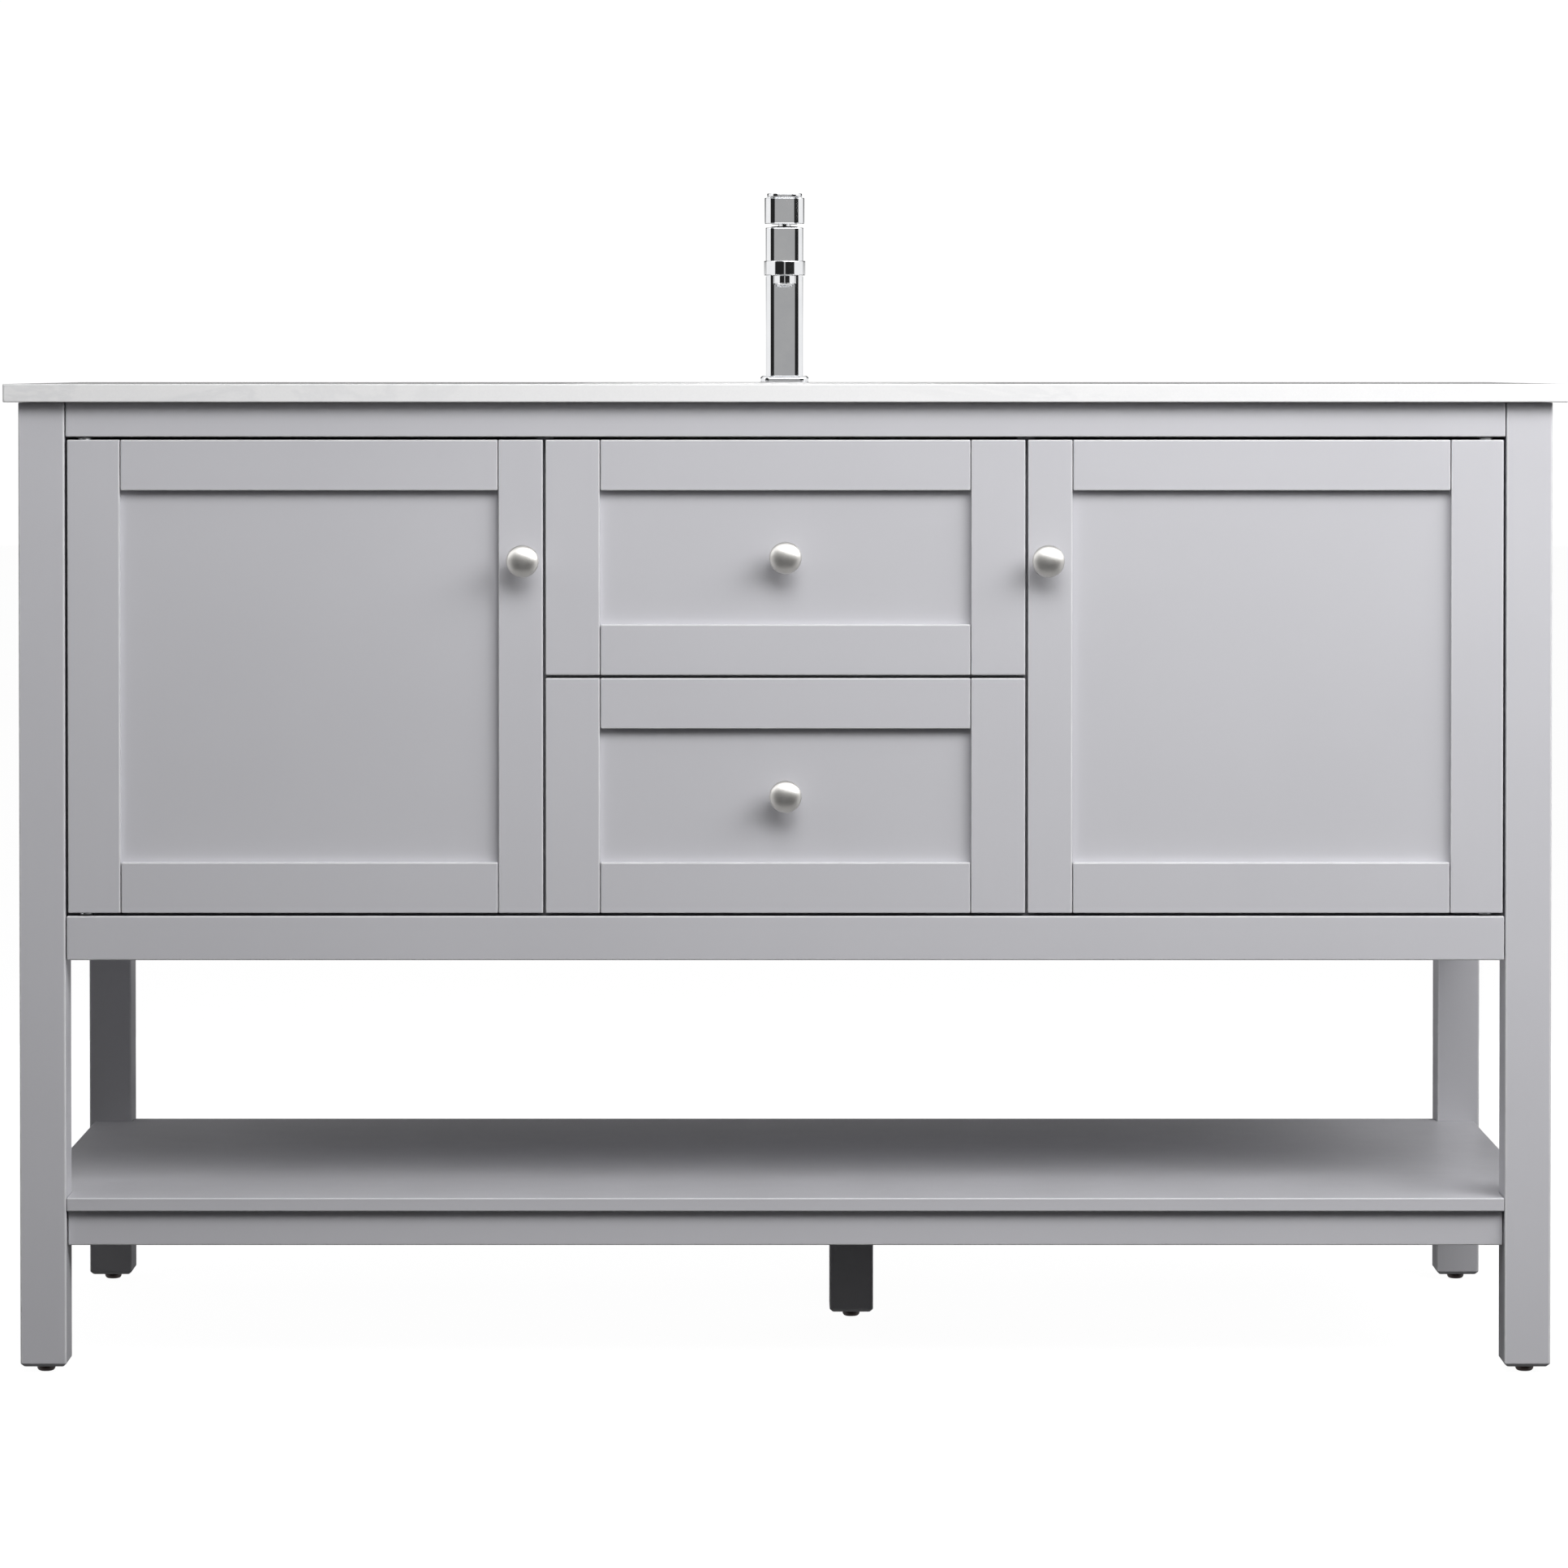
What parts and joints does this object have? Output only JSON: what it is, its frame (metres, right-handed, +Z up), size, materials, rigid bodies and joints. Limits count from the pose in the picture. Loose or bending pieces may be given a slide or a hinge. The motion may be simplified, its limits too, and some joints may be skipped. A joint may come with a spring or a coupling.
{
  "type": "bathroom vanity cabinet",
  "caption": "Grey painted bathroom vanity with inset shaker doors and drawers, an open shelf below, a white stone top, an undermount sink and a chrome lever tap.",
  "frame": {"origin": "on the floor, in the middle of the object's box in plan", "axes": "+Z up, the doors and drawers face -Y, +X is to the right of someone facing them"},
  "size_m": [1.3716, 0.5742, 1.0517],
  "materials": {
    "grey_paint": "satin grey paint",
    "white_stone": "polished white engineered stone, opaque",
    "glazed_ceramic": "white glazed ceramic, opaque",
    "chrome": "polished chrome",
    "satin_nickel": "brushed satin nickel",
    "zinc_plate": "zinc plated steel",
    "dark_nylon": "dark moulded nylon",
    "birch_ply": "clear lacquered birch",
    "black_nylon": "black moulded nylon"
  },
  "bodies": {
    "cabinet": {"leg_front_left": "grey_paint", "leg_front_right": "grey_paint", "leg_rear_left": "grey_paint", "leg_rear_right": "grey_paint", "leg_centre": "grey_paint", "glide_front_left": "dark_nylon", "glide_front_right": "dark_nylon", "glide_rear_left": "dark_nylon", "glide_rear_right": "dark_nylon", "glide_centre": "dark_nylon", "top_rail_front": "grey_paint", "bottom_rail_front": "grey_paint", "top_rail_rear": "grey_paint", "side_panel_left": "grey_paint", "side_panel_right": "grey_paint", "cabinet_floor": "grey_paint", "back_panel": "grey_paint", "partition_left": "grey_paint", "partition_right": "grey_paint", "shelf": "grey_paint", "shelf_rail_front": "grey_paint", "shelf_rail_rear": "grey_paint", "countertop": "white_stone", "sink_bowl": "glazed_ceramic", "drain_body": "chrome", "tap_body": "chrome", "aerator": "chrome", "left_door_socket_upper": "black_nylon", "upper_runner_left": "zinc_plate", "left_door_socket_lower": "black_nylon", "lower_runner_left": "zinc_plate", "right_door_socket_upper": "black_nylon", "upper_runner_right": "zinc_plate", "right_door_socket_lower": "black_nylon", "lower_runner_right": "zinc_plate"},
    "left_door": {"left_door_frame": "grey_paint", "left_door_panel": "grey_paint", "left_door_knob": "satin_nickel", "left_door_pin_upper": "zinc_plate", "left_door_pin_lower": "zinc_plate"},
    "right_door": {"right_door_frame": "grey_paint", "right_door_panel": "grey_paint", "right_door_knob": "satin_nickel", "right_door_pin_upper": "zinc_plate", "right_door_pin_lower": "zinc_plate"},
    "upper_drawer": {"upper_drawer_frame": "grey_paint", "upper_drawer_panel": "grey_paint", "upper_drawer_knob": "satin_nickel", "upper_drawer_box": "birch_ply", "upper_slide_left": "zinc_plate", "upper_slide_right": "zinc_plate"},
    "lower_drawer": {"lower_drawer_frame": "grey_paint", "lower_drawer_panel": "grey_paint", "lower_drawer_knob": "satin_nickel", "lower_drawer_box": "birch_ply", "lower_slide_left": "zinc_plate", "lower_slide_right": "zinc_plate"},
    "stopper": {"sink_stopper": "chrome"},
    "tap_stem": {"tap_stem": "chrome"},
    "tap_handle": {"tap_handle": "chrome"}
  },
  "joints": [
    {"name": "left_door_hinge", "type": "hinge", "parent": "cabinet", "child": "left_door", "pos_m": [-0.6158, -0.25105, 0.6148], "axis": [0, 0, -1], "range_deg": [0, 105]},
    {"name": "right_door_hinge", "type": "hinge", "parent": "cabinet", "child": "right_door", "pos_m": [0.6158, -0.25105, 0.6148], "axis": [0, 0, 1], "range_deg": [0, 105]},
    {"name": "upper_drawer_slide", "type": "slide", "parent": "cabinet", "child": "upper_drawer", "axis": [0, -1, 0], "range_m": [0, 0.33]},
    {"name": "lower_drawer_slide", "type": "slide", "parent": "cabinet", "child": "lower_drawer", "axis": [0, -1, 0], "range_m": [0, 0.33]},
    {"name": "stopper_lift", "type": "slide", "parent": "cabinet", "child": "stopper", "axis": [0, 0, 1], "range_m": [0, 0.008]},
    {"name": "tap_swivel", "type": "hinge", "parent": "cabinet", "child": "tap_stem", "pos_m": [0, 0.21095, 1.0203], "axis": [0, 0, 1], "range_deg": [-45, 45]},
    {"name": "tap_tilt", "type": "hinge", "parent": "tap_stem", "child": "tap_handle", "pos_m": [0, 0.22095, 1.026], "axis": [-1, 0, 0], "range_deg": [0, 20]}
  ]
}
